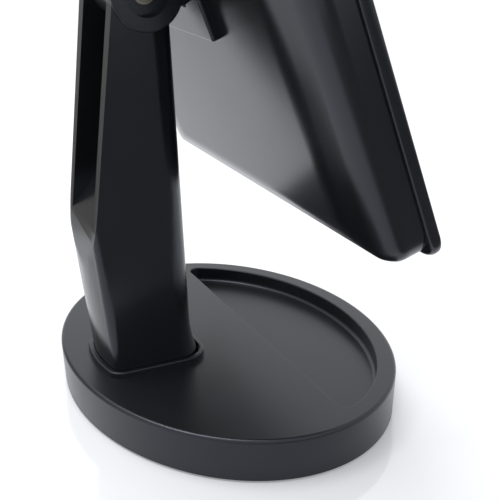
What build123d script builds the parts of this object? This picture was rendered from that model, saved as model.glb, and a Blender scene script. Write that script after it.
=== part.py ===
"""Tabletop vanity mirror: an oval base with a storage tray, a forked column
and a tilting rectangular mirror head.

Frame: millimetres, +Z up, origin on the table under the middle of the oval base.
The mirror faces -Y, so +X is on the right of someone who looks into it. The head
has a plane of its own, head_plane: X across, Y up along the tilted head, and
distances towards the mirror's face counted from the hinge's axis.
"""

import os
from math import cos, radians, sin, tan

from build123d import *

os.makedirs("parts", exist_ok=True)

# ---------------------------------------------------------------- driving dimensions
# general
wall = 2.5                      # moulded wall
fit = 0.15                      # clearance between parts that are only assembled
running_fit = 0.05              # radial clearance of a shaft in its hole
seat_gap = 0.1                  # gap between the faces that slide in the hinge

# oval base
base_half_width = 119.0
base_half_depth = 90.0
base_top = 24.0
base_draft = 1.0                # the skirt is this much smaller at its lower edge
base_edge_round = 1.8
foot_radius = 7.0
foot_height = 2.2
foot_show = 1.2                 # rubber foot that shows below the skirt
foot_chamfer = 0.6
foot_x = 72.0
foot_y = 42.0
tray_rim = 10.5                 # land between the storage tray and the skirt
tray_back = -20.0               # straight rear edge of the storage tray
tray_depth = 9.0
tray_corner = 5.0
tray_floor_round = 2.0
tray_edge_round = 0.8
ballast_half_width = 88.0
ballast_half_depth = 58.0
ballast_thickness = 5.0
ballast_chamfer = 0.5
boss_radius = 3.6
screw_radius = 1.4
screw_head_radius = 2.8
screw_head_height = 1.5
screw_inset = 17.0              # from the skirt to the screws at the sides and in front
rear_screw_x = 62.0
rear_screw_y = 58.0

# column
column_half_width = 22.0        # at the foot
column_top_half_width = 26.2    # at the hinge
column_front = 24.2             # front face at the foot
column_front_lean = 2.35        # degrees, the front face leans back
column_rear = 70.4              # side edges of the rear face at the foot
column_rear_lean = 5.8          # degrees, the lower rear face leans out
upper_rear_y = 63.4             # rear face of the cheeks at the hinge's height
upper_rear_lean = 7.2           # degrees, this face leans forward
rear_crown_radius = 85.0
rear_corner = 5.0
front_corner = 13.0
flare_height = 24.0             # hollow flare of the front face above the base
flare_depth = 4.5
collar_width = 2.6              # raised lip round the foot
collar_height = 3.2
collar_round = 0.8
cheek_gap = 37.0                # between the two cheeks of the fork
front_wall = 6.0                # closed front of the channel
mouth_z = 109.0                 # lower end of the channel in the rear face
channel_ramp = 49.0             # degrees, floor of the channel
channel_round = 9.0             # where the ramp runs into the front wall
fork_depth = 24.0               # the fork is open to the front too, this far below the hinge
column_screw_x = 12.0
column_screw_y = 13.0
column_screw_radius = 2.0
column_screw_head_radius = 4.0
column_screw_head_height = 2.0
column_screw_depth = 16.0
screw_tip_space = 1.0           # hole beyond the end of a screw

# hinge
pivot_y = 46.5
pivot_z = 222.0
tilt = 20.6                     # degrees, how far the top of the mirror leans back
fork_head_radius = 18.0
fork_head_round = 0.8
boss_height = 1.2
counterbore_radius = 11.0
counterbore_depth = 6.0
bolt_radius = 2.5
bolt_head_radius = 3.9
bolt_head_height = 3.0
bolt_head_round = 0.7
bolt_socket_across = 3.0
bolt_socket_depth = 1.6
nut_across = 8.0
nut_height = 4.0
washer_radius = 5.4
washer_thickness = 1.0
friction_washer_radius = 12.5
hub_radius = 14.5

# hinge cover on the back of the head and its block inside the shell
cover_rear = 18.8
block_half_width = 36.5
block_half_height = 32.5
block_corner = 2.6
block_thickness = 4.0
cover_edge_round = 1.4
arm_root_offset = 4.7           # where the arm leaves the hub
arm_root_half_height = 12.0
arm_half_height = 16.5
arm_corner = 3.0
flange_half_width = 28.0
flange_half_height = 24.0
flange_thickness = 2.0
hinge_screw_x = 23.0
hinge_screw_y = 19.0
hinge_screw_radius = 1.9
hinge_screw_head_radius = 3.2
hinge_screw_head_height = 1.6
hinge_screw_end = 1.0           # thread that shows past the stiffener plate
stiffener_half = 38.0
stiffener_thickness = 1.5

# mirror head
shell_rear = 23.5               # flat middle of the back
shell_bevel_width = 32.2        # shallow bevel all round the flat middle
shell_bevel_rise = 7.4
shell_flat_corner = 16.0
shell_blend_radius = 90.0       # soft run from the flat middle into the bevel
shell_draft = 0.6               # growth of the sides towards the frame
shell_corner = 15.0
shell_edge_round = 6.0          # from the bevel into the sides
frame_rear = 46.6
frame_front = 52.3
frame_half_width = 138.4
frame_half_height = 138.0
frame_corner = 12.0
frame_edge_round = 1.2
side_ledge = 3.8                # how far the frame stands out past the shell
end_ledge = 1.6
bezel = 12.0                    # visible width of the frame round the glass
bezel_round = 0.8
glass_corner = 3.0
glass_lap = 1.6                 # how far the frame's lip covers the glass
lip_thickness = 1.8
glass_thickness = 3.0
pad_thickness = 1.0
panel_thickness = 2.0
rib_thickness = 1.5             # locating rib of the frame inside the shell
rib_depth = 3.0
press_rib_inset = 14.0          # rib of the shell that holds the panel down
press_rib_thickness = 1.8
press_rib_corner = 6.0

# ---------------------------------------------------------------- derived places
plate_z = foot_show + wall                      # top of the bottom plate
tub_z = base_top - tray_depth                   # floor of the storage tray
inner_half_width = base_half_width - base_draft - wall
inner_half_depth = base_half_depth - base_draft - wall
side_screw_x = base_half_width - screw_inset
front_screw_y = base_half_depth - screw_inset
base_screw_places = [
    (side_screw_x, 0),
    (-side_screw_x, 0),
    (rear_screw_x, rear_screw_y),
    (-rear_screw_x, rear_screw_y),
    (0, -front_screw_y),
]

front_slope = tan(radians(column_front_lean))
rear_slope = tan(radians(column_rear_lean))
upper_rear_slope = tan(radians(upper_rear_lean))
column_y = (column_front + column_rear) / 2
column_top = pivot_z + fork_head_radius
fork_floor_z = pivot_z - fork_depth
lip_clearance = fit + collar_height * rear_slope
cut_reach = 2 * column_top                      # a cut this long runs out of the part

head_half_length = column_top_half_width + boss_height
web_x = head_half_length - counterbore_depth    # floor of each counterbore
hub_half_length = cheek_gap / 2 - washer_thickness - seat_gap

rim_half_width = frame_half_width - side_ledge
rim_half_height = frame_half_height - end_ledge
flat_half_width = rim_half_width - shell_bevel_width
flat_half_height = rim_half_height - shell_bevel_width
shell_shoulder = shell_rear + shell_bevel_rise
flange_rear = shell_rear - flange_thickness
block_rear = shell_rear + wall                  # the block lies against the shell's inside
stiffener_rear = block_rear + block_thickness
glass_inset = bezel - glass_lap                 # edge of the glass inside the frame
glass_half_width = frame_half_width - glass_inset
glass_half_height = frame_half_height - glass_inset
glass_front = frame_front - lip_thickness
glass_rear = glass_front - glass_thickness
pad_rear = glass_rear - pad_thickness
panel_rear = pad_rear - panel_thickness

mirror_normal = (0, -cos(radians(tilt)), sin(radians(tilt)))
head_plane = Plane(origin=(0, pivot_y, pivot_z), x_dir=(1, 0, 0), z_dir=mirror_normal)
from_rear = Axis((0, 0, 0), mirror_normal)      # sorts the head's faces back to front
near_side = Plane(origin=(-web_x, pivot_y, pivot_z), z_dir=(-1, 0, 0))
far_side = Plane(origin=(web_x, pivot_y, pivot_z), z_dir=(1, 0, 0))


def save(builder, name):
    """Label a finished piece and write its STEP file."""
    builder.part.label = name
    export_step(builder.part, f"parts/{name}.step")


def tray_outline(grow=0.0):
    """Plan of the storage tray: an oval that is cut off straight at the back."""
    with BuildSketch() as outline:
        Ellipse(base_half_width - tray_rim + grow, base_half_depth - tray_rim + grow)
        with Locations((0, tray_back + grow)):
            Rectangle(
                2 * base_half_width,
                2 * base_half_depth,
                align=(Align.CENTER, Align.MAX),
                mode=Mode.INTERSECT,
            )
        fillet(outline.vertices(), tray_corner + grow)
    return outline.sketch


def column_outline(height, front, grow=0.0):
    """Plan of the column at a height: flat sides, crowned rear, square front."""
    rise = height - base_top
    spread = (column_top_half_width - column_half_width) / (pivot_z - base_top)
    half = column_half_width + spread * rise + grow
    side_rear = column_rear + rear_slope * rise + grow
    crown = rear_crown_radius - (rear_crown_radius**2 - half**2) ** 0.5
    with BuildSketch() as outline:
        with BuildLine():
            ThreePointArc((-half, side_rear), (0, side_rear + crown), (half, side_rear))
            Polyline(
                (half, side_rear),
                (half, front - grow),
                (-half, front - grow),
                (-half, side_rear),
            )
        make_face()
        fillet(outline.vertices().group_by(Axis.Y)[-1], rear_corner + grow)
    return outline.sketch


def foot_outline(grow):
    """Plan of the column's foot with its rounded front corners."""
    with BuildSketch() as outline:
        add(column_outline(base_top, column_front - flare_depth, grow))
        fillet(outline.vertices().group_by(Axis.Y)[0], front_corner + grow)
    return outline.sketch


def front_face_y(height):
    """Where the leaning front face of the column is at a height."""
    return column_front + front_slope * (height - base_top)


def upper_rear_face_y(height):
    """Where the leaning rear face of the cheeks is at a height."""
    return upper_rear_y - upper_rear_slope * (height - pivot_z)


# ---------------------------------------------------------------- base
with BuildPart() as base_tray:
    with BuildSketch(Plane.XY.offset(foot_show)):
        Ellipse(base_half_width - base_draft, base_half_depth - base_draft)
    with BuildSketch(Plane.XY.offset(base_top)):
        Ellipse(base_half_width, base_half_depth)
    loft(ruled=True)
    fillet(base_tray.faces().sort_by(Axis.Z)[-1].edges(), base_edge_round)
    # storage tray with a rounded floor
    with BuildSketch(Plane.XY.offset(base_top)):
        add(tray_outline())
    extrude(amount=-tray_depth, mode=Mode.SUBTRACT)
    tub_face = base_tray.faces().filter_by(Axis.Z).group_by(Axis.Z)[1]
    fillet(tub_face.edges(), tray_floor_round)
    rim_face = base_tray.faces().filter_by(Axis.Z).sort_by(Axis.Z)[-1]
    fillet(rim_face.inner_wires().edges(), tray_edge_round)
    # hollow underside, below the tub and beside it
    with BuildSketch():
        Ellipse(inner_half_width, inner_half_depth)
    extrude(amount=tub_z - wall, mode=Mode.SUBTRACT)
    with BuildSketch(Plane.XY.offset(tub_z - wall)):
        Ellipse(inner_half_width, inner_half_depth)
        add(tray_outline(wall), mode=Mode.SUBTRACT)
    extrude(amount=tray_depth, mode=Mode.SUBTRACT)
    # screw bosses down to the bottom plate
    with BuildSketch(Plane.XY.offset(plate_z)):
        with Locations(*base_screw_places):
            Circle(boss_radius)
    extrude(until=Until.NEXT)
    with BuildSketch(Plane.XY.offset(plate_z)):
        with Locations(*base_screw_places):
            Circle(screw_radius)
    extrude(amount=tub_z - wall - plate_z, mode=Mode.SUBTRACT)
    # raised lip round the column's foot, and the screw holes under the column
    with BuildSketch(Plane.XY.offset(base_top)):
        add(foot_outline(collar_width))
        add(foot_outline(lip_clearance), mode=Mode.SUBTRACT)
    extrude(amount=collar_height)
    lip_top = base_tray.faces().filter_by(Axis.Z).sort_by(Axis.Z)[-1]
    fillet(lip_top.outer_wire().edges(), collar_round)
    with Locations((0, column_y, base_top)):
        with GridLocations(2 * column_screw_x, 2 * column_screw_y, 2, 2):
            Hole(column_screw_radius + fit, depth=2 * wall)
save(base_tray, "base_tray")

with BuildPart() as base_plate:
    with BuildSketch(Plane.XY.offset(foot_show)):
        Ellipse(inner_half_width - fit, inner_half_depth - fit)
    extrude(amount=wall)
    with Locations(Plane.XY.offset(foot_show).rotated((180, 0, 0))):
        with Locations(*[(x, -y) for x, y in base_screw_places]):
            CounterBoreHole(screw_radius + fit, screw_head_radius + fit, screw_head_height)
        with GridLocations(2 * foot_x, 2 * foot_y, 2, 2):
            Hole(foot_radius, depth=foot_height - foot_show)
save(base_plate, "base_plate")

with BuildPart() as ballast_plate:
    with BuildSketch(Plane.XY.offset(plate_z)):
        Ellipse(ballast_half_width, ballast_half_depth)
    extrude(amount=ballast_thickness)
    chamfer(ballast_plate.edges(), ballast_chamfer)
save(ballast_plate, "ballast_plate")

foot_names = ["rear_right", "rear_left", "front_left", "front_right"]
foot_places = [(foot_x, foot_y), (-foot_x, foot_y), (-foot_x, -foot_y), (foot_x, -foot_y)]
for foot_name, foot_place in zip(foot_names, foot_places):
    with BuildPart() as rubber_foot:
        with BuildSketch():
            with Locations(foot_place):
                Circle(foot_radius - running_fit)
        extrude(amount=foot_height)
        chamfer(rubber_foot.edges().group_by(Axis.Z)[0], foot_chamfer)
    save(rubber_foot, f"rubber_foot_{foot_name}")

with BuildPart() as base_screws:
    with BuildSketch(Plane.XY.offset(foot_show)):
        with Locations(*base_screw_places):
            Circle(screw_head_radius)
    extrude(amount=screw_head_height)
    with BuildSketch(Plane.XY.offset(foot_show + screw_head_height)):
        with Locations(*base_screw_places):
            Circle(screw_radius - running_fit)
    extrude(amount=tub_z - plate_z - wall)
save(base_screws, "base_screws")

# ---------------------------------------------------------------- column
flare_z = base_top + flare_height
flare_foot_y = column_front - flare_depth
ramp_slope = tan(radians(channel_ramp))
mouth_y = upper_rear_face_y(mouth_z)
# the ramp rises forward from the mouth until it meets the inside of the front wall
ramp_run = (mouth_y - front_face_y(mouth_z) - front_wall) / (1 + front_slope * ramp_slope)
ramp_top = (mouth_y - ramp_run, mouth_z + ramp_slope * ramp_run)

with BuildPart() as column:
    # plan: flat tapering sides and a crowned rear
    with BuildSketch(Plane.XY.offset(base_top)):
        add(column_outline(base_top, 0))
    with BuildSketch(Plane.XY.offset(column_top)):
        add(column_outline(column_top, 0))
    loft(ruled=True)
    # side profile: flared and leaning front, and the flat rear of the cheeks
    with BuildSketch(Plane.YZ):
        with BuildLine():
            TangentArc(
                (front_face_y(flare_z), flare_z),
                (flare_foot_y, base_top),
                tangent=(-front_slope, -1),
            )
            Polyline(
                (flare_foot_y, base_top),
                (upper_rear_face_y(base_top), base_top),
                (upper_rear_face_y(column_top), column_top),
                (front_face_y(column_top), column_top),
                (front_face_y(flare_z), flare_z),
            )
        make_face()
    extrude(amount=base_half_depth, both=True, mode=Mode.INTERSECT)
    flanks = column.faces().group_by(Axis.X)[0] + column.faces().group_by(Axis.X)[-1]
    upright_edges = flanks.edges().filter_by(lambda edge: edge.bounding_box().size.Z > flare_height / 2)
    fillet(upright_edges.filter_by(lambda edge: edge.center().Y < column_y / 2), front_corner)
    # round fork head with a raised boss on each side
    with BuildSketch(Plane.XY.offset(pivot_z)):
        Rectangle(cut_reach, cut_reach)
    extrude(amount=cut_reach, mode=Mode.SUBTRACT)
    with BuildSketch(Plane.YZ):
        with Locations((pivot_y, pivot_z)):
            Circle(fork_head_radius)
    extrude(amount=head_half_length, both=True)
    head_rims = column.edges().filter_by(GeomType.CIRCLE).filter_by(
        lambda edge: edge.radius == fork_head_radius and abs(edge.center().X) > web_x
    )
    fillet(head_rims, fork_head_round)
    # fork gap and the channel down the rear face, with its ramp
    with BuildSketch(Plane.YZ) as channel:
        with BuildLine():
            Polyline(
                (-cut_reach, fork_floor_z),
                (front_face_y(fork_floor_z) + front_wall, fork_floor_z),
                ramp_top,
                (mouth_y + cut_reach / ramp_slope, mouth_z - cut_reach),
                (mouth_y + cut_reach / ramp_slope, cut_reach),
                (-cut_reach, cut_reach),
                close=True,
            )
        make_face()
        fillet(channel.vertices().sort_by_distance(ramp_top)[0], channel_round)
    extrude(amount=cheek_gap / 2, both=True, mode=Mode.SUBTRACT)
    # bolt hole through both cheeks, a counterbore in each boss
    with Locations(near_side.offset(counterbore_depth), far_side.offset(counterbore_depth)):
        CounterBoreHole(bolt_radius + fit, counterbore_radius, counterbore_depth, depth=cheek_gap / 2)
    # pilot holes for the screws that come up through the base
    with Locations(Plane.XY.offset(base_top).rotated((180, 0, 0))):
        with Locations((0, -column_y)):
            with GridLocations(2 * column_screw_x, 2 * column_screw_y, 2, 2):
                Hole(column_screw_radius, depth=column_screw_depth)
save(column, "column")

with BuildPart() as column_screws:
    with BuildSketch(Plane.XY.offset(base_top - wall)):
        with Locations((0, column_y)):
            with GridLocations(2 * column_screw_x, 2 * column_screw_y, 2, 2):
                Circle(column_screw_head_radius)
    extrude(amount=-column_screw_head_height)
    with BuildSketch(Plane.XY.offset(base_top - wall)):
        with Locations((0, column_y)):
            with GridLocations(2 * column_screw_x, 2 * column_screw_y, 2, 2):
                Circle(column_screw_radius - running_fit)
    extrude(amount=wall + column_screw_depth - screw_tip_space)
save(column_screws, "column_screws")

# ---------------------------------------------------------------- hinge
with BuildPart() as pivot_bolt:
    with BuildSketch(near_side.offset(washer_thickness)):
        Circle(bolt_head_radius)
    extrude(amount=bolt_head_height)
    fillet(pivot_bolt.edges().group_by(Axis.X)[0], bolt_head_round)
    with BuildSketch(near_side.offset(washer_thickness)):
        Circle(bolt_radius)
    extrude(amount=-(2 * web_x + 2 * washer_thickness + nut_height))
    with BuildSketch(near_side.offset(washer_thickness + bolt_head_height)):
        RegularPolygon(bolt_socket_across / 2, 6, major_radius=False)
    extrude(amount=-bolt_socket_depth, mode=Mode.SUBTRACT)
save(pivot_bolt, "pivot_bolt")

with BuildPart() as pivot_nut:
    with BuildSketch(far_side.offset(washer_thickness)):
        RegularPolygon(nut_across / 2, 6, major_radius=False)
        Circle(bolt_radius + running_fit, mode=Mode.SUBTRACT)
    extrude(amount=nut_height)
save(pivot_nut, "pivot_nut")

for washer_name, washer_side in [("flat_washer", near_side), ("spring_washer", far_side)]:
    with BuildPart() as washer:
        with BuildSketch(washer_side):
            Circle(washer_radius)
            Circle(bolt_radius + fit, mode=Mode.SUBTRACT)
        extrude(amount=washer_thickness)
    save(washer, washer_name)

for washer_name, side in [("friction_washer_near", -1), ("friction_washer_far", 1)]:
    with BuildPart() as washer:
        with BuildSketch(Plane(origin=(side * cheek_gap / 2, pivot_y, pivot_z), z_dir=(-side, 0, 0))):
            Circle(friction_washer_radius)
            Circle(bolt_radius + fit, mode=Mode.SUBTRACT)
        extrude(amount=washer_thickness)
    save(washer, washer_name)

with BuildPart() as tilt_arm:
    with BuildSketch(Plane.YZ):
        with Locations((pivot_y, pivot_z)):
            Circle(hub_radius)
    extrude(amount=hub_half_length, both=True)
    # arm that widens from the hub to the flange
    with BuildSketch(head_plane.offset(arm_root_offset)):
        RectangleRounded(2 * hub_half_length, 2 * arm_root_half_height, arm_corner)
    with BuildSketch(head_plane.offset(flange_rear)):
        RectangleRounded(2 * hub_half_length, 2 * arm_half_height, arm_corner)
    loft(ruled=True)
    with BuildSketch(head_plane.offset(flange_rear)):
        RectangleRounded(2 * flange_half_width, 2 * flange_half_height, arm_corner)
        with GridLocations(2 * hinge_screw_x, 2 * hinge_screw_y, 2, 2):
            Circle(hinge_screw_radius + fit, mode=Mode.SUBTRACT)
    extrude(amount=flange_thickness)
    with BuildSketch(Plane.YZ):
        with Locations((pivot_y, pivot_z)):
            Circle(bolt_radius + running_fit)
    extrude(amount=cheek_gap, both=True, mode=Mode.SUBTRACT)
save(tilt_arm, "tilt_arm")

with BuildPart() as hinge_cover:
    with BuildSketch(head_plane.offset(cover_rear)):
        RectangleRounded(2 * block_half_width, 2 * block_half_height, block_corner)
    extrude(amount=shell_rear - cover_rear)
    fillet(hinge_cover.faces().sort_by(from_rear)[0].edges(), cover_edge_round)
    # window for the arm, seat for its flange, and room for the screw heads
    with BuildSketch(head_plane.offset(cover_rear)):
        RectangleRounded(2 * (hub_half_length + fit), 2 * (arm_half_height + fit), arm_corner)
    extrude(amount=shell_rear - cover_rear, mode=Mode.SUBTRACT)
    with BuildSketch(head_plane.offset(shell_rear)):
        RectangleRounded(2 * (flange_half_width + fit), 2 * (flange_half_height + fit), arm_corner)
    extrude(amount=-flange_thickness, mode=Mode.SUBTRACT)
    with BuildSketch(head_plane.offset(flange_rear)):
        with GridLocations(2 * hinge_screw_x, 2 * hinge_screw_y, 2, 2):
            Circle(hinge_screw_head_radius + fit)
    extrude(amount=-hinge_screw_head_height - seat_gap, mode=Mode.SUBTRACT)
save(hinge_cover, "hinge_cover")

with BuildPart() as hinge_block:
    with BuildSketch(head_plane.offset(block_rear)):
        RectangleRounded(2 * block_half_width, 2 * block_half_height, block_corner)
        with GridLocations(2 * hinge_screw_x, 2 * hinge_screw_y, 2, 2):
            Circle(hinge_screw_radius + fit, mode=Mode.SUBTRACT)
    extrude(amount=block_thickness)
save(hinge_block, "hinge_block")

with BuildPart() as hinge_screws:
    with BuildSketch(head_plane.offset(flange_rear)):
        with GridLocations(2 * hinge_screw_x, 2 * hinge_screw_y, 2, 2):
            Circle(hinge_screw_head_radius)
    extrude(amount=-hinge_screw_head_height)
    with BuildSketch(head_plane.offset(flange_rear)):
        with GridLocations(2 * hinge_screw_x, 2 * hinge_screw_y, 2, 2):
            Circle(hinge_screw_radius)
    extrude(amount=stiffener_rear + stiffener_thickness + hinge_screw_end - flange_rear)
save(hinge_screws, "hinge_screws")

with BuildPart() as stiffener_plate:
    with BuildSketch(head_plane.offset(stiffener_rear)):
        RectangleRounded(2 * stiffener_half, 2 * stiffener_half, arm_corner)
        with GridLocations(2 * hinge_screw_x, 2 * hinge_screw_y, 2, 2):
            Circle(hinge_screw_radius + running_fit, mode=Mode.SUBTRACT)
    extrude(amount=stiffener_thickness)
save(stiffener_plate, "stiffener_plate")

# ---------------------------------------------------------------- mirror head
def shell_form(inset=0.0):
    """Solid form of the shell, or of the hollow inside it when inset by the wall."""
    shoulder_plane = head_plane.offset(shell_shoulder + inset)
    with BuildSketch(shoulder_plane) as shoulder:
        RectangleRounded(
            2 * (rim_half_width - shell_draft - inset),
            2 * (rim_half_height - shell_draft - inset),
            shell_corner - shell_draft - inset,
        )
    with BuildPart() as form:
        with BuildSketch(head_plane.offset(shell_rear + inset)):
            RectangleRounded(2 * flat_half_width, 2 * flat_half_height, shell_flat_corner)
        add(shoulder.sketch)
        loft(ruled=True)
        add(shoulder.sketch)
        with BuildSketch(head_plane.offset(frame_rear)):
            RectangleRounded(
                2 * (rim_half_width - inset),
                2 * (rim_half_height - inset),
                shell_corner - inset,
            )
        loft(ruled=True)
        shoulder_edges = form.edges().filter_by(
            lambda edge: abs(shoulder_plane.to_local_coords(edge.center()).Z) < fit
        )
        fillet(shoulder_edges, shell_edge_round - inset)
        fillet(form.faces().sort_by(from_rear)[0].edges(), shell_blend_radius)
    return form.part


with BuildPart() as rear_shell:
    add(shell_form())
    add(shell_form(wall), mode=Mode.SUBTRACT)
    # rib that presses the mirror's back panel into the frame
    press_half_width = rim_half_width - press_rib_inset
    press_half_height = rim_half_height - press_rib_inset
    with BuildSketch(head_plane.offset(shell_shoulder - wall / 2)):
        RectangleRounded(2 * press_half_width, 2 * press_half_height, press_rib_corner)
        RectangleRounded(
            2 * (press_half_width - press_rib_thickness),
            2 * (press_half_height - press_rib_thickness),
            press_rib_corner - press_rib_thickness,
            mode=Mode.SUBTRACT,
        )
    extrude(amount=panel_rear - shell_shoulder + wall / 2)
    with BuildSketch(head_plane.offset(shell_rear)):
        with GridLocations(2 * hinge_screw_x, 2 * hinge_screw_y, 2, 2):
            Circle(hinge_screw_radius + fit)
    extrude(amount=wall, mode=Mode.SUBTRACT)
save(rear_shell, "rear_shell")

with BuildPart() as front_frame:
    with BuildSketch(head_plane.offset(frame_rear)):
        RectangleRounded(2 * frame_half_width, 2 * frame_half_height, frame_corner)
    extrude(amount=frame_front - frame_rear)
    fillet(front_frame.faces().sort_by(from_rear)[0].edges(), frame_edge_round)
    fillet(front_frame.faces().sort_by(from_rear)[-1].edges(), frame_edge_round)
    with BuildSketch(head_plane.offset(frame_front)):
        RectangleRounded(
            2 * (frame_half_width - bezel),
            2 * (frame_half_height - bezel),
            glass_corner,
        )
    extrude(amount=frame_rear - frame_front, mode=Mode.SUBTRACT)
    fillet(front_frame.faces().sort_by(from_rear)[-1].inner_wires().edges(), bezel_round)
    # locating rib inside the shell, then the rebate for glass, pad and panel
    with BuildSketch(head_plane.offset(frame_rear)):
        RectangleRounded(
            2 * (glass_half_width + fit + rib_thickness),
            2 * (glass_half_height + fit + rib_thickness),
            glass_corner + rib_thickness,
        )
    extrude(amount=-rib_depth)
    with BuildSketch(head_plane.offset(glass_front)):
        RectangleRounded(
            2 * (glass_half_width + fit),
            2 * (glass_half_height + fit),
            glass_corner,
        )
    extrude(amount=frame_rear - rib_depth - glass_front, mode=Mode.SUBTRACT)
save(front_frame, "front_frame")

# glass, foam pad and back panel lie in the rebate, one behind the other
layers = [
    ("mirror_glass", glass_front, glass_thickness),
    ("foam_pad", glass_rear, pad_thickness),
    ("back_panel", pad_rear, panel_thickness),
]
for layer_name, layer_front, layer_thickness in layers:
    with BuildPart() as layer:
        with BuildSketch(head_plane.offset(layer_front)):
            RectangleRounded(2 * glass_half_width, 2 * glass_half_height, glass_corner)
        extrude(amount=-layer_thickness)
    save(layer, layer_name)
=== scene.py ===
"""Looks of a black tabletop vanity mirror, built round its CAD frame.

Metres, +Z up, the mirror faces -Y. The camera stands behind the stand, low and to its
right-hand side as seen from the back, and looks down on the storage tray. The tilted head
has millimetres of its own: across, up along the head, and out towards the mirror's face,
all counted from the hinge's axis.
"""

from math import cos, pi, radians, sin, tan

import bmesh
import bpy
from mathutils import Matrix, Vector


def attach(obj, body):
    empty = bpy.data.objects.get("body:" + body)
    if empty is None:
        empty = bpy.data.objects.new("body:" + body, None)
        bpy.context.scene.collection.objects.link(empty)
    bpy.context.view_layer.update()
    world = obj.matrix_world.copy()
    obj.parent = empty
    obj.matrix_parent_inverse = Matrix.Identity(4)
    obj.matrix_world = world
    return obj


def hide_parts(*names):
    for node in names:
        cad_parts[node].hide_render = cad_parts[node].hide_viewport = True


MM = 0.001
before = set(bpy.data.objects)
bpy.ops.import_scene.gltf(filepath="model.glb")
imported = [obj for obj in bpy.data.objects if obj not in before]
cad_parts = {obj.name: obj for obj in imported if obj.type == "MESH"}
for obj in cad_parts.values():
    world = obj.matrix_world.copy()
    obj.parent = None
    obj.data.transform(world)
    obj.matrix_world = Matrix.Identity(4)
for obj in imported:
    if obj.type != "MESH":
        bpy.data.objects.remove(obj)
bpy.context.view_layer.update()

# ---------------------------------------------------------------- sizes, in millimetres
hinge_y = 46.5
hinge_z = 222.0
head_tilt = radians(20.6)

shell_half_width = 134.6        # where the shell meets the frame
shell_half_height = 136.4
shell_front = 46.6
shell_back = 23.5               # flat middle of the back
shell_corner = 15.0
shell_draft = 0.6
shell_rim = 2.5                 # wall
plain_side = 1.0                # upright strip between the rounded edge and the draft
flat_border = 3.0               # outer strip of the flat, which keeps its shading flat
bevel_width = 42.5              # at the sides, from the shell's edge to where the flat begins
end_share = 0.48                # the bevel at top and bottom, as a share of the sides' width
bevel_slope = 11.5              # degrees
bevel_blend = 80.0              # radius of the soft run from the flat into the bevel
bevel_corner = 5.0              # least plan corner on the bevel
shoulder_radius = 30.0          # wide curve from the bevel towards the side
shoulder_slope = 40.0           # degrees, where the wide curve ends
edge_round = 6.0

frame_half_width = 138.4
frame_half_height = 138.0
frame_depth = 5.7
frame_rear_round = 3.6
frame_round = 1.2
bezel = 12.0
bezel_corner = 0.6
bezel_round = 0.8
lip = 1.8
rebate = 10.25                  # from the frame's outside to the rebate's wall
rib_width = 1.5
rib_depth = 3.0

glass_half_width = 128.0
glass_half_height = 127.6
glass_corner = 3.0
glass_front = 50.5
glass_thickness = 3.0
glass_arris = 0.7

column_ease = 0.6               # on the column's edges
eased_from = 35                 # degrees, edges at least this sharp are eased
plain_within = 0.4              # degrees, faces that meet at less become one before that
same_point = 0.002              # points closer than this are one

foot_radius = 6.95
foot_height = 2.2
foot_across = 72.0              # places of the feet, from the middle of the base
foot_along = 42.0

base_screw_places = [(102, 0), (-102, 0), (62, 58), (-62, 58), (0, -73)]
base_screw_z = 1.2
screw_head_radius = 2.8
screw_face_radius = 2.3         # the head narrows towards its face
screw_head_height = 1.5
screw_shank_radius = 1.35
screw_length = 11.3
shank_overlap = 0.3             # how far the shank reaches into the head
recess_width = 0.7
recess_length = 3.0
recess_depth = 1.0


# ---------------------------------------------------------------- small helpers
def srgb(hex_text):
    """An sRGB hex colour as the linear RGBA that a shader socket takes."""
    channels = [int(hex_text[i : i + 2], 16) / 255 for i in (1, 3, 5)]
    linear = [c / 12.92 if c <= 0.04045 else ((c + 0.055) / 1.055) ** 2.4 for c in channels]
    return (*linear, 1.0)


def add_node(tree, kind, links=(), settings=(), **inputs):
    """Adds a node to a tree with its properties, its input values and its links."""
    node = tree.nodes.new(kind)
    for name, value in dict(settings).items():
        setattr(node, name, value)
    for name, value in inputs.items():
        node.inputs[name.replace("_", " ")].default_value = value
    for socket, source in dict(links).items():
        tree.links.new(source, node.inputs[socket])
    return node


def per_metre(size_mm):
    """Noise scale, in features per metre, of a pattern whose features are size_mm wide."""
    return 1 / (size_mm * MM)


def new_material(name):
    """An empty node material with its output node."""
    material = bpy.data.materials.new(name)
    material.use_nodes = True
    tree = material.node_tree
    tree.nodes.clear()
    return material, tree, tree.nodes.new("ShaderNodeOutputMaterial")


def head_point(across, up, out):
    """World place of a point given in the head's own millimetres."""
    return MM * Vector(
        (
            across,
            hinge_y + up * sin(head_tilt) - out * cos(head_tilt),
            hinge_z + up * cos(head_tilt) + out * sin(head_tilt),
        )
    )


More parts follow.
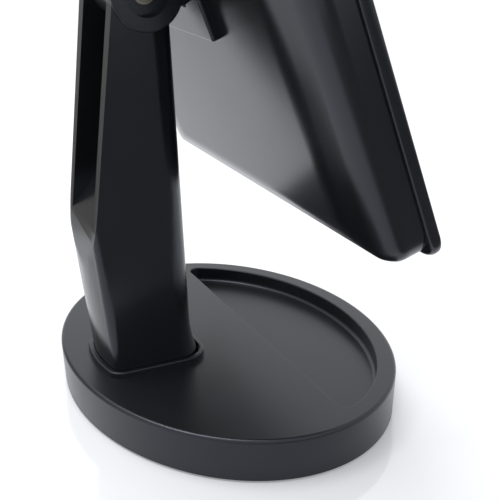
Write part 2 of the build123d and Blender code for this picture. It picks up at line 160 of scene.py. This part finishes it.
# ---------------------------------------------------------------- materials
def clouded_finish(name, colours, sheen, grain, cloud_mm, cloud_detail, stops, **shader_values):
    """A finish whose colour and sheen wander together in soft clouds over a fine grain.
    Sheen gives the mean roughness and its spread to either side; grain gives its width and
    depth in mm and further values of its noise."""
    material, tree, output = new_material(name)
    roughness, spread = sheen
    grain_mm, depth_mm, grain_noise = grain
    place = add_node(tree, "ShaderNodeTexCoord").outputs["Object"]
    grains = add_node(
        tree,
        "ShaderNodeTexNoise",
        links={"Vector": place},
        Scale=per_metre(grain_mm),
        **grain_noise,
    )
    bump = add_node(
        tree,
        "ShaderNodeBump",
        links={"Height": grains.outputs["Fac"]},
        Strength=1.0,
        Distance=depth_mm * MM,
    )
    clouds = add_node(
        tree,
        "ShaderNodeTexNoise",
        links={"Vector": place},
        Scale=per_metre(cloud_mm),
        Detail=cloud_detail,
    )
    dullness = add_node(
        tree,
        "ShaderNodeMapRange",
        links={"Value": clouds.outputs["Fac"]},
        From_Min=0.3,
        From_Max=0.7,
        To_Min=roughness - spread,
        To_Max=roughness + spread,
    )
    tint = add_node(tree, "ShaderNodeValToRGB", links={"Fac": clouds.outputs["Fac"]})
    for stop, colour, position in zip(tint.color_ramp.elements, colours, stops):
        stop.color = srgb(colour)
        stop.position = position
    shader = add_node(
        tree,
        "ShaderNodeBsdfPrincipled",
        links={
            "Base Color": tint.outputs["Color"],
            "Roughness": dullness.outputs["Result"],
            "Normal": bump.outputs["Normal"],
        },
        **shader_values,
    )
    tree.links.new(shader.outputs["BSDF"], output.inputs["Surface"])
    return material


def moulded_plastic(name, colour, flow_colour, roughness, spread, grain_mm, depth_mm, ior=1.5):
    """Injection-moulded plastic or rubber. The steel mould is spark-eroded, which leaves a
    fine even grain; colour and sheen wander a little where the melt cooled unevenly. Its
    reflections are tinted very slightly blue in the material itself: a painted reflection colour that
    stands in for bluish sky light."""
    return clouded_finish(
        name,
        (colour, flow_colour),
        sheen=(roughness, spread),
        grain=(grain_mm, depth_mm, {"Detail": 2.0, "Roughness": 0.55}),
        cloud_mm=45,
        cloud_detail=3.0,
        stops=(0.35, 0.65),
        IOR=ior,
        # painted reflection colour: this tint turns the plastic's reflections slightly blue, standing
        # in for bluish sky light
        Specular_Tint=srgb("#e6edff"),
    )


def plated_metal(name, colour, stain_colour, roughness, spread, grain_mm, depth_mm):
    """Metal with a thin plating: the coat clouds slightly and follows the rolled or
    turned surface under it."""
    return clouded_finish(
        name,
        (colour, stain_colour),
        sheen=(roughness, spread),
        grain=(grain_mm, depth_mm, {"Detail": 3.0}),
        cloud_mm=6,
        cloud_detail=4.0,
        stops=(0.4, 0.7),
        Metallic=1.0,
    )


# Gloss black ABS off a stoned mould: near-black, with soft-edged reflections.
shell_abs = moulded_plastic("moulded_ABS_semi_gloss", "#141516", "#17181a", 0.21, 0.015, 0.25, 0.0002)
# The same plastic off a finely eroded mould, a shade duller.
satin_abs = moulded_plastic("moulded_ABS_satin", "#151617", "#18191b", 0.30, 0.02, 0.25, 0.0003)
# Moulded nitrile rubber: dull, slightly brownish black, dusty in the low spots.
matt_rubber = moulded_plastic("nitrile_rubber", "#191817", "#242321", 0.72, 0.05, 0.6, 0.01, 1.52)
# Closed-cell foam sheet: matt and pitted.
foam_sheet = moulded_plastic("polyethylene_foam", "#2c2c2d", "#353536", 0.85, 0.04, 0.8, 0.06)
# Hardboard sprayed black: fibres show as a low uneven grain.
hardboard = moulded_plastic("painted_hardboard", "#191919", "#212121", 0.55, 0.06, 1.1, 0.02)
# Oil-filled nylon of the friction washers: waxy grey.
nylon = moulded_plastic("oil_filled_nylon", "#3a3a38", "#444442", 0.42, 0.04, 0.5, 0.002, 1.53)
# Bright zinc plate on rolled steel: bluish, slightly cloudy.
zinc = plated_metal("zinc_plated_steel", "#aeb3b8", "#989da1", 0.34, 0.06, 0.4, 0.002)
# Clear passivation on turned steel: grey with a faint straw tint.
passivated = plated_metal("passivated_turned_steel", "#8e8c84", "#7f7b6c", 0.32, 0.05, 0.3, 0.002)
# Silver behind float glass: almost white, faintly green from the glass, with no grain.
silvered = plated_metal("silvered_float_glass", "#e6ecea", "#e4ebe9", 0.015, 0.005, 40, 0.0)

finishes = {
    "base_tray": satin_abs,
    "column": shell_abs,
    "tilt_arm": satin_abs,
    "hinge_cover": shell_abs,
    "hinge_block": satin_abs,
    "rear_shell": shell_abs,
    "front_frame": shell_abs,
    "base_plate": hardboard,
    "back_panel": hardboard,
    "foam_pad": foam_sheet,
    "friction_washer_near": nylon,
    "friction_washer_far": nylon,
    "ballast_plate": zinc,
    "stiffener_plate": zinc,
    "base_screws": zinc,
    "column_screws": zinc,
    "hinge_screws": zinc,
    "pivot_bolt": passivated,
    "pivot_nut": passivated,
    "flat_washer": passivated,
    "spring_washer": passivated,
    "mirror_glass": silvered,
    "rubber_foot_rear_right": matt_rubber,
    "rubber_foot_rear_left": matt_rubber,
    "rubber_foot_front_left": matt_rubber,
    "rubber_foot_front_right": matt_rubber,
}
for node_name, finish in finishes.items():
    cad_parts[node_name].data.materials.clear()
    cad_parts[node_name].data.materials.append(finish)


# ---------------------------------------------------------------- building pieces
def place_piece(name, mesh, body, slot, *nodes):
    """Links a finished mesh as a piece that rides on a body and stands for CAD nodes."""
    piece = bpy.data.objects.new(name, mesh)
    bpy.context.scene.collection.objects.link(piece)
    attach(piece, body)
    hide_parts(*nodes)
    return piece


def rounded_ring(half_width, half_height, corner, steps=10):
    """Points of a rounded rectangle, counter-clockwise, with the corners as arcs."""
    points = []
    for quarter, (side_x, side_y) in enumerate([(1, 1), (-1, 1), (-1, -1), (1, -1)]):
        for step in range(steps + 1):
            turn = (quarter + step / steps) * pi / 2
            points.append(
                (
                    side_x * (half_width - corner) + corner * cos(turn),
                    side_y * (half_height - corner) + corner * sin(turn),
                )
            )
    return points


def ring_form(name, half_width, half_height, stations, material, end_share=1.0):
    """A closed form through rounded rectangles. Each station gives how far the ring is
    inset, how far out it lies and its corner radius; at top and bottom it is inset by a
    share of that. Flat faces close both ends."""
    form = bmesh.new()
    rings = []
    for inset, out, corner in stations:
        outline = rounded_ring(half_width - inset, half_height - end_share * inset, corner)
        rings.append([form.verts.new(head_point(x, y, out)) for x, y in outline])
    for lower, upper in zip(rings, rings[1:]):
        for i in range(len(lower)):
            after = (i + 1) % len(lower)
            form.faces.new((lower[i], lower[after], upper[after], upper[i]))
    form.faces.new(rings[0])
    form.faces.new(rings[-1])
    bmesh.ops.recalc_face_normals(form, faces=form.faces)
    mesh = bpy.data.meshes.new(name)
    form.to_mesh(mesh)
    form.free()
    mesh.shade_smooth()
    mesh.set_sharp_from_angle(angle=radians(30))
    mesh.materials.append(material)
    return mesh


def run_on(section, radius, first, last, steps):
    """Runs a section on along an arc, from one slope to another. Its points are inset and
    out, and the slope is 0 on the flat back and 90 degrees on the sides."""
    inset, out = section[-1]
    start = radians(first)
    for step in range(1, steps + 1):
        slope = radians(first + (last - first) * step / steps)
        sideways = radius * (sin(slope) - sin(start))
        outwards = radius * (cos(start) - cos(slope))
        section.append((inset - sideways, out + outwards))


# ---------------------------------------------------------------- mirror head
# back of the mirror: flat middle, soft blend, shallow bevel, wide shoulder, rounded edge and
# an upright side that ends at the frame
section = [(bevel_width + flat_border, shell_back), (bevel_width, shell_back)]
run_on(section, bevel_blend, 0, bevel_slope, 16)
bevel_sine = sin(radians(bevel_slope))
shoulder_sine = sin(radians(shoulder_slope))
curved_width = (
    bevel_blend * bevel_sine
    + shoulder_radius * (shoulder_sine - bevel_sine)
    + edge_round * (1 - shoulder_sine)
)
half_bevel = (bevel_width - shell_draft - curved_width) / 2
for _ in range(2):
    inset, out = section[-1]
    section.append((inset - half_bevel, out + half_bevel * tan(radians(bevel_slope))))
run_on(section, shoulder_radius, bevel_slope, shoulder_slope, 12)
run_on(section, edge_round, shoulder_slope, 90, 8)
side_out = section[-1][1]
section += [(shell_draft, side_out + plain_side), (0.0, shell_front)]
outside = [(inset, out, max(shell_corner - inset, bevel_corner)) for inset, out in section[::-1]]
# the rim and the inside of the wall, down to the back panel's rib
inside = [
    (shell_rim, shell_front, shell_corner - shell_rim),
    (shell_rim, side_out, shell_corner - shell_rim),
    (bevel_width, shell_back + shell_rim, shell_corner),
]
shell_mesh = ring_form(
    "rear_shell_moulding",
    shell_half_width,
    shell_half_height,
    inside[::-1] + outside,
    shell_abs,
    end_share,
)
place_piece("rear_shell_moulding", shell_mesh, "head", "black_abs", "rear_shell")


# ---------------------------------------------------------------- column with eased edges
def eased_copy(name, node, ease, material):
    """A copy of a CAD node whose sharp edges are eased, as a moulding's are. Its triangles
    are first merged into plain faces, so that only real edges are eased, and the flats stay
    evenly shaded afterwards."""
    form = bmesh.new()
    form.from_mesh(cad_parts[node].data)
    bmesh.ops.remove_doubles(form, verts=form.verts, dist=same_point * MM)
    bmesh.ops.dissolve_limit(
        form,
        angle_limit=radians(plain_within),
        verts=form.verts,
        edges=form.edges,
    )
    copy = bpy.data.meshes.new(name + "_copy")
    form.to_mesh(copy)
    form.free()
    copy.shade_smooth()
    host = bpy.data.objects.new(name + "_host", copy)
    bpy.context.scene.collection.objects.link(host)
    easing = host.modifiers.new("easing", "BEVEL")
    easing.width = ease * MM
    easing.segments = 3
    easing.limit_method = "ANGLE"
    easing.angle_limit = radians(eased_from)
    easing.miter_outer = "MITER_ARC"
    evening = host.modifiers.new("evening", "WEIGHTED_NORMAL")
    evening.keep_sharp = False
    ready = host.evaluated_get(bpy.context.evaluated_depsgraph_get())
    mesh = bpy.data.meshes.new_from_object(ready)
    mesh.name = name
    bpy.data.objects.remove(host)
    mesh.materials.clear()
    mesh.materials.append(material)
    return mesh


column_mesh = eased_copy("column_moulding", "column", column_ease, shell_abs)
place_piece("column_moulding", column_mesh, "stand", "black_abs", "column")


# ---------------------------------------------------------------- pieces grown by node trees
def growing_tree(name, size_names):
    """A Geometry Nodes tree with named inputs for its sizes and for the material."""
    tree = bpy.data.node_groups.new(name, "GeometryNodeTree")
    tree.interface.new_socket("Geometry", in_out="INPUT", socket_type="NodeSocketGeometry")
    for size_name in size_names:
        tree.interface.new_socket(size_name, in_out="INPUT", socket_type="NodeSocketFloat")
    tree.interface.new_socket("Material", in_out="INPUT", socket_type="NodeSocketMaterial")
    tree.interface.new_socket("Geometry", in_out="OUTPUT", socket_type="NodeSocketGeometry")
    return tree, add_node(tree, "NodeGroupInput").outputs


def end_tree(tree, inputs, shape):
    """Ends a tree in real geometry with its material."""
    real = add_node(tree, "GeometryNodeRealizeInstances", links={"Geometry": shape})
    dressed = add_node(
        tree,
        "GeometryNodeSetMaterial",
        links={"Geometry": real.outputs["Geometry"], "Material": inputs["Material"]},
    )
    add_node(tree, "NodeGroupOutput", links={"Geometry": dressed.outputs["Geometry"]})


def grown_mesh(name, tree, points, edges, **sizes):
    """Runs a tree on a few points or a line and gives back the plain mesh it makes."""
    start = bpy.data.meshes.new(name + "_start")
    start.from_pydata(points, edges, [])
    host = bpy.data.objects.new(name + "_host", start)
    bpy.context.scene.collection.objects.link(host)
    modifier = host.modifiers.new(name, "NODES")
    modifier.node_group = tree
    for item in tree.interface.items_tree:
        size_name = item.name.replace(" ", "_")
        if item.in_out == "INPUT" and size_name in sizes:
            modifier[item.identifier] = sizes[size_name]
    ready = host.evaluated_get(bpy.context.evaluated_depsgraph_get())
    mesh = bpy.data.meshes.new_from_object(ready)
    mesh.name = name
    host.modifiers.remove(modifier)
    bpy.data.objects.remove(host)
    return mesh


def smooth_outward(mesh, angle):
    """Turns all faces outwards and shades smooth where faces meet under an angle."""
    form = bmesh.new()
    form.from_mesh(mesh)
    bmesh.ops.remove_doubles(form, verts=form.verts, dist=0.001 * MM)
    bmesh.ops.recalc_face_normals(form, faces=form.faces)
    form.to_mesh(mesh)
    form.free()
    mesh.shade_smooth()
    mesh.set_sharp_from_angle(angle=radians(angle))


def to_metres(mesh):
    """Scales a mesh that was grown in millimetres."""
    for vertex in mesh.vertices:
        vertex.co *= MM


def closed_line(points):
    """Edges that join points into one closed line."""
    return [(i, (i + 1) % len(points)) for i in range(len(points))]


def corner_arc(centre_x, centre_y, radius, first, last, steps=4):
    """Points on a small arc of a section, angles in degrees from the x axis."""
    angles = [radians(first + (last - first) * step / steps) for step in range(steps + 1)]
    return [(centre_x + radius * cos(a), centre_y + radius * sin(a)) for a in angles]


# frame: its section is swept round the opening for the glass
sweep, sizes_in = growing_tree("section_round_opening", ["Width", "Height", "Corner"])
opening = add_node(
    sweep,
    "GeometryNodeCurvePrimitiveQuadrilateral",
    links={"Width": sizes_in["Width"], "Height": sizes_in["Height"]},
)
eased = add_node(
    sweep,
    "GeometryNodeFilletCurve",
    settings={"mode": "POLY"},
    links={"Curve": opening.outputs["Curve"], "Radius": sizes_in["Corner"]},
    Count=14,
)
section_line = add_node(sweep, "GeometryNodeMeshToCurve", links={"Mesh": sizes_in["Geometry"]})
swept = add_node(
    sweep,
    "GeometryNodeCurveToMesh",
    links={"Curve": eased.outputs["Curve"], "Profile Curve": section_line.outputs["Curve"]},
)
end_tree(sweep, sizes_in, swept.outputs["Mesh"])

# x counts outwards from the opening, y down from the frame's rear face to its front face
rebate_x = bezel - rebate
frame_section = (
    corner_arc(bezel - frame_rear_round, frame_rear_round, frame_rear_round, -90, 0, 6)
    + corner_arc(bezel - frame_round, frame_depth - frame_round, frame_round, 0, 90)
    + corner_arc(bezel_round, frame_depth - bezel_round, bezel_round, 90, 180)
    + [
        (0.0, frame_depth - lip),
        (rebate_x, frame_depth - lip),
        (rebate_x, -rib_depth),
        (rebate_x + rib_width, -rib_depth),
        (rebate_x + rib_width, 0.0),
    ]
)
frame_mesh = grown_mesh(
    "front_frame_moulding",
    sweep,
    [(x, -y, 0) for x, y in frame_section],
    closed_line(frame_section),
    Width=2 * (frame_half_width - bezel),
    Height=2 * (frame_half_height - bezel),
    Corner=bezel_corner,
    Material=shell_abs,
)
for vertex in frame_mesh.vertices:
    across, up, out = vertex.co
    vertex.co = head_point(across, up, shell_front + out)
smooth_outward(frame_mesh, 35)
place_piece("front_frame_moulding", frame_mesh, "head", "black_frame", "front_frame")

# glass with a ground arris
glass_mesh = ring_form(
    "silvered_glass",
    glass_half_width,
    glass_half_height,
    [
        (0.0, glass_front - glass_thickness, glass_corner),
        (0.0, glass_front - glass_arris, glass_corner),
        (glass_arris, glass_front, glass_corner - glass_arris),
    ],
    silvered,
)
place_piece("silvered_glass", glass_mesh, "head", "mirror", "mirror_glass")

# rubber feet: a ribbed section turned round each foot's axis
turning, sizes_in = growing_tree("turned_on_corners", ["Half Radius", "Width", "Depth"])
path = add_node(
    turning,
    "GeometryNodeCurvePrimitiveCircle",
    links={"Radius": sizes_in["Half Radius"]},
    Resolution=48,
)
section_line = add_node(turning, "GeometryNodeMeshToCurve", links={"Mesh": sizes_in["Geometry"]})
turned = add_node(
    turning,
    "GeometryNodeCurveToMesh",
    links={"Curve": path.outputs["Curve"], "Profile Curve": section_line.outputs["Curve"]},
)
closed = add_node(
    turning,
    "GeometryNodeMergeByDistance",
    links={"Geometry": turned.outputs["Mesh"]},
    Distance=0.001,
)
corners = add_node(
    turning,
    "GeometryNodeMeshGrid",
    links={"Size X": sizes_in["Width"], "Size Y": sizes_in["Depth"]},
    Vertices_X=2,
    Vertices_Y=2,
)
feet = add_node(
    turning,
    "GeometryNodeInstanceOnPoints",
    links={"Points": corners.outputs["Mesh"], "Instance": closed.outputs["Geometry"]},
)
end_tree(turning, sizes_in, feet.outputs["Instances"])
# distance from the foot's axis, and height over the table: a dished middle, a ring to stand
# on, a groove, a second ring and a rounded edge
foot_section = [
    (0.0, 0.45),
    (1.6, 0.45),
    (1.9, 0.0),
    (3.6, 0.0),
    (3.8, 0.3),
    (4.3, 0.3),
    (4.5, 0.0),
    (foot_radius - 0.7, 0.0),
    (foot_radius - 0.2, 0.2),
    (foot_radius, 0.7),
    (foot_radius, foot_height),
    (0.0, foot_height),
]
feet_mesh = grown_mesh(
    "ribbed_rubber_feet",
    turning,
    [(x - foot_radius / 2, -z, 0) for x, z in foot_section],
    closed_line(foot_section),
    Half_Radius=foot_radius / 2,
    Width=2 * foot_across,
    Depth=2 * foot_along,
    Material=matt_rubber,
)
to_metres(feet_mesh)
smooth_outward(feet_mesh, 40)
place_piece(
    "ribbed_rubber_feet",
    feet_mesh,
    "stand",
    "rubber",
    "rubber_foot_rear_right",
    "rubber_foot_rear_left",
    "rubber_foot_front_left",
    "rubber_foot_front_right",
)

# base screws, seen from below: heads with a cross recess
screws, sizes_in = growing_tree(
    "cross_recess_screws",
    ["Face Radius", "Head Radius", "Head Height", "Shank Radius", "Length"],
)
screw_head = add_node(
    screws,
    "GeometryNodeMeshCone",
    links={
        "Radius Bottom": sizes_in["Face Radius"],
        "Radius Top": sizes_in["Head Radius"],
        "Depth": sizes_in["Head Height"],
    },
    Vertices=40,
)
shank = add_node(
    screws,
    "GeometryNodeMeshCylinder",
    links={"Radius": sizes_in["Shank Radius"], "Depth": sizes_in["Length"]},
    Vertices=24,
)
shank_up = add_node(
    screws,
    "GeometryNodeTransform",
    links={"Geometry": shank.outputs["Mesh"]},
    Translation=(0, 0, screw_head_height + screw_length / 2 - shank_overlap),
)
blades = []
for turn in (0, 90):
    blade = add_node(
        screws,
        "GeometryNodeMeshCube",
        Size=(recess_length, recess_width, 2 * recess_depth),
    )
    blades.append(
        add_node(
            screws,
            "GeometryNodeTransform",
            links={"Geometry": blade.outputs["Mesh"]},
            Rotation=(0, 0, radians(turn)),
        )
    )
recessed = add_node(
    screws,
    "GeometryNodeMeshBoolean",
    settings={"operation": "DIFFERENCE"},
    links={"Mesh 1": screw_head.outputs["Mesh"]},
)
for blade in blades:
    screws.links.new(blade.outputs["Geometry"], recessed.inputs["Mesh 2"])
whole = add_node(screws, "GeometryNodeJoinGeometry", links={"Geometry": recessed.outputs["Mesh"]})
screws.links.new(shank_up.outputs["Geometry"], whole.inputs["Geometry"])
placed = add_node(
    screws,
    "GeometryNodeInstanceOnPoints",
    links={"Points": sizes_in["Geometry"], "Instance": whole.outputs["Geometry"]},
)
end_tree(screws, sizes_in, placed.outputs["Instances"])
screw_mesh = grown_mesh(
    "cross_recess_base_screws",
    screws,
    [(x, y, base_screw_z) for x, y in base_screw_places],
    [],
    Face_Radius=screw_face_radius,
    Head_Radius=screw_head_radius,
    Head_Height=screw_head_height,
    Shank_Radius=screw_shank_radius,
    Length=screw_length,
    Material=zinc,
)
to_metres(screw_mesh)
smooth_outward(screw_mesh, 40)
place_piece("cross_recess_base_screws", screw_mesh, "stand", "zinc_screw", "base_screws")


# ---------------------------------------------------------------- camera
camera_place = Vector((-473.5, 205.1, 275.2)) * MM
camera_azimuth = radians(244.78)        # heading of the picture's right-hand side
camera_elevation = radians(21.05)
camera_roll = radians(-0.49)
camera_data = bpy.data.cameras.new("camera")
camera_data.lens = 71.0
camera_data.sensor_width = 36.0
camera = bpy.data.objects.new("camera", camera_data)
bpy.context.scene.collection.objects.link(camera)
turn = Matrix.Rotation(camera_azimuth, 4, "Z") @ Matrix.Rotation(pi / 2 - camera_elevation, 4, "X")
camera.matrix_world = Matrix.Translation(camera_place) @ turn @ Matrix.Rotation(camera_roll, 4, "Z")
bpy.context.scene.camera = camera


# ---------------------------------------------------------------- floor, world and lamps
def seen_directly(tree):
    """1 for rays that show the studio itself, straight, mirrored or through glass; else 0."""
    path = add_node(tree, "ShaderNodeLightPath").outputs
    mirrored = add_node(
        tree,
        "ShaderNodeMath",
        settings={"operation": "MAXIMUM"},
        links={0: path["Is Camera Ray"], 1: path["Is Glossy Ray"]},
    )
    through = add_node(
        tree,
        "ShaderNodeMath",
        settings={"operation": "MAXIMUM"},
        links={0: mirrored.outputs["Value"], 1: path["Is Transmission Ray"]},
    )
    return through.outputs["Value"]


def upper_side_only(tree, shader, output):
    """Ends a material that is clear when seen from below."""
    below = add_node(tree, "ShaderNodeNewGeometry").outputs["Backfacing"]
    clear = add_node(tree, "ShaderNodeBsdfTransparent")
    sided = add_node(tree, "ShaderNodeMixShader", links={0: below, 1: shader, 2: clear.outputs["BSDF"]})
    tree.links.new(sided.outputs["Shader"], output.inputs["Surface"])


def flat_sheet(name, corners, material):
    """A flat four-cornered sheet of the studio, not part of the object. Its corners run
    counter-clockwise as seen from its face."""
    mesh = bpy.data.meshes.new(name)
    mesh.from_pydata(corners, [], [(0, 1, 2, 3)])
    mesh.materials.append(material)
    sheet = bpy.data.objects.new(name, mesh)
    bpy.context.scene.collection.objects.link(sheet)
    return sheet


# White acrylic table: it shows the object's shade and a soft reflection, and is white
# elsewhere. The lift is there for the eye and for reflections, and lights nothing.
acrylic, tree, output = new_material("white_acrylic_table")
gloss = add_node(tree, "ShaderNodeBsdfPrincipled", Roughness=0.08, IOR=1.75)
gloss.inputs["Base Color"].default_value = srgb("#dedfe1")
lift = add_node(tree, "ShaderNodeEmission", Strength=0.24)
lift.inputs["Color"].default_value = srgb("#fafbfd")
lifted = add_node(
    tree,
    "ShaderNodeAddShader",
    links={0: gloss.outputs["BSDF"], 1: lift.outputs["Emission"]},
)
choose = add_node(
    tree,
    "ShaderNodeMixShader",
    links={0: seen_directly(tree), 1: gloss.outputs["BSDF"], 2: lifted.outputs["Shader"]},
)
upper_side_only(tree, choose.outputs["Shader"], output)
table_reach = 3.0               # metres to each side
table_corners = [
    (side_x * table_reach, side_y * table_reach, 0)
    for side_x, side_y in ((-1, -1), (1, -1), (1, 1), (-1, 1))
]
flat_sheet("table", table_corners, acrylic)

# Two grey felts, one on the table's near side and one that rises at the far left. They
# show only in reflections, where they keep those faces of the black plastic dark, and only
# from their upper side, so the table under them stays white. Corners in metres.
felt, tree, output = new_material("grey_felt")
cloth = add_node(tree, "ShaderNodeBsdfPrincipled", Roughness=0.9)
cloth.inputs["Base Color"].default_value = srgb("#85827f")
upper_side_only(tree, cloth.outputs["BSDF"], output)
felt_z = 0.0005
felts = {
    "near_felt": [
        (-1.3, -0.9, felt_z),
        (-0.165, -0.9, felt_z),
        (-0.165, 0.3, felt_z),
        (-1.3, 0.3, felt_z),
    ],
    "left_felt": [(0.34, 0.17, felt_z), (1.3, 0.17, 0.9), (1.3, 1.6, 0.9), (0.34, 1.6, felt_z)],
}
for felt_name, felt_corners in felts.items():
    felt_sheet = flat_sheet(felt_name, felt_corners, felt)
    felt_sheet.visible_camera = False
    felt_sheet.visible_shadow = False
    felt_sheet.visible_diffuse = False

# A white room that lights the object only dimly.
world = bpy.data.worlds.new("studio")
bpy.context.scene.world = world
world.use_nodes = True
tree = world.node_tree
tree.nodes.clear()
output = tree.nodes.new("ShaderNodeOutputWorld")
room = add_node(tree, "ShaderNodeBackground", Strength=0.6)
room.inputs["Color"].default_value = srgb("#f4f7fc")
white = add_node(tree, "ShaderNodeBackground", Strength=1.0)
white.inputs["Color"].default_value = srgb("#ffffff")
choose = add_node(
    tree,
    "ShaderNodeMixShader",
    links={0: seen_directly(tree), 1: room.outputs["Background"], 2: white.outputs["Background"]},
)
tree.links.new(choose.outputs["Shader"], output.inputs["Surface"])


def soft_box(name, place, target, width, height, power):
    """A rectangular soft light aimed at a point."""
    lamp = bpy.data.lights.new(name, "AREA")
    lamp.shape = "RECTANGLE"
    lamp.size = width
    lamp.size_y = height
    lamp.energy = power
    box = bpy.data.objects.new(name, lamp)
    bpy.context.scene.collection.objects.link(box)
    aim = Vector(target) - Vector(place)
    box.matrix_world = Matrix.Translation(place) @ aim.to_track_quat("-Z", "Y").to_matrix().to_4x4()


soft_box("top_soft_box", (0.25, 0.3, 1.5), (0.1, 0, 0), 1.1, 1.1, 22)

bpy.context.scene.view_settings.view_transform = "Standard"
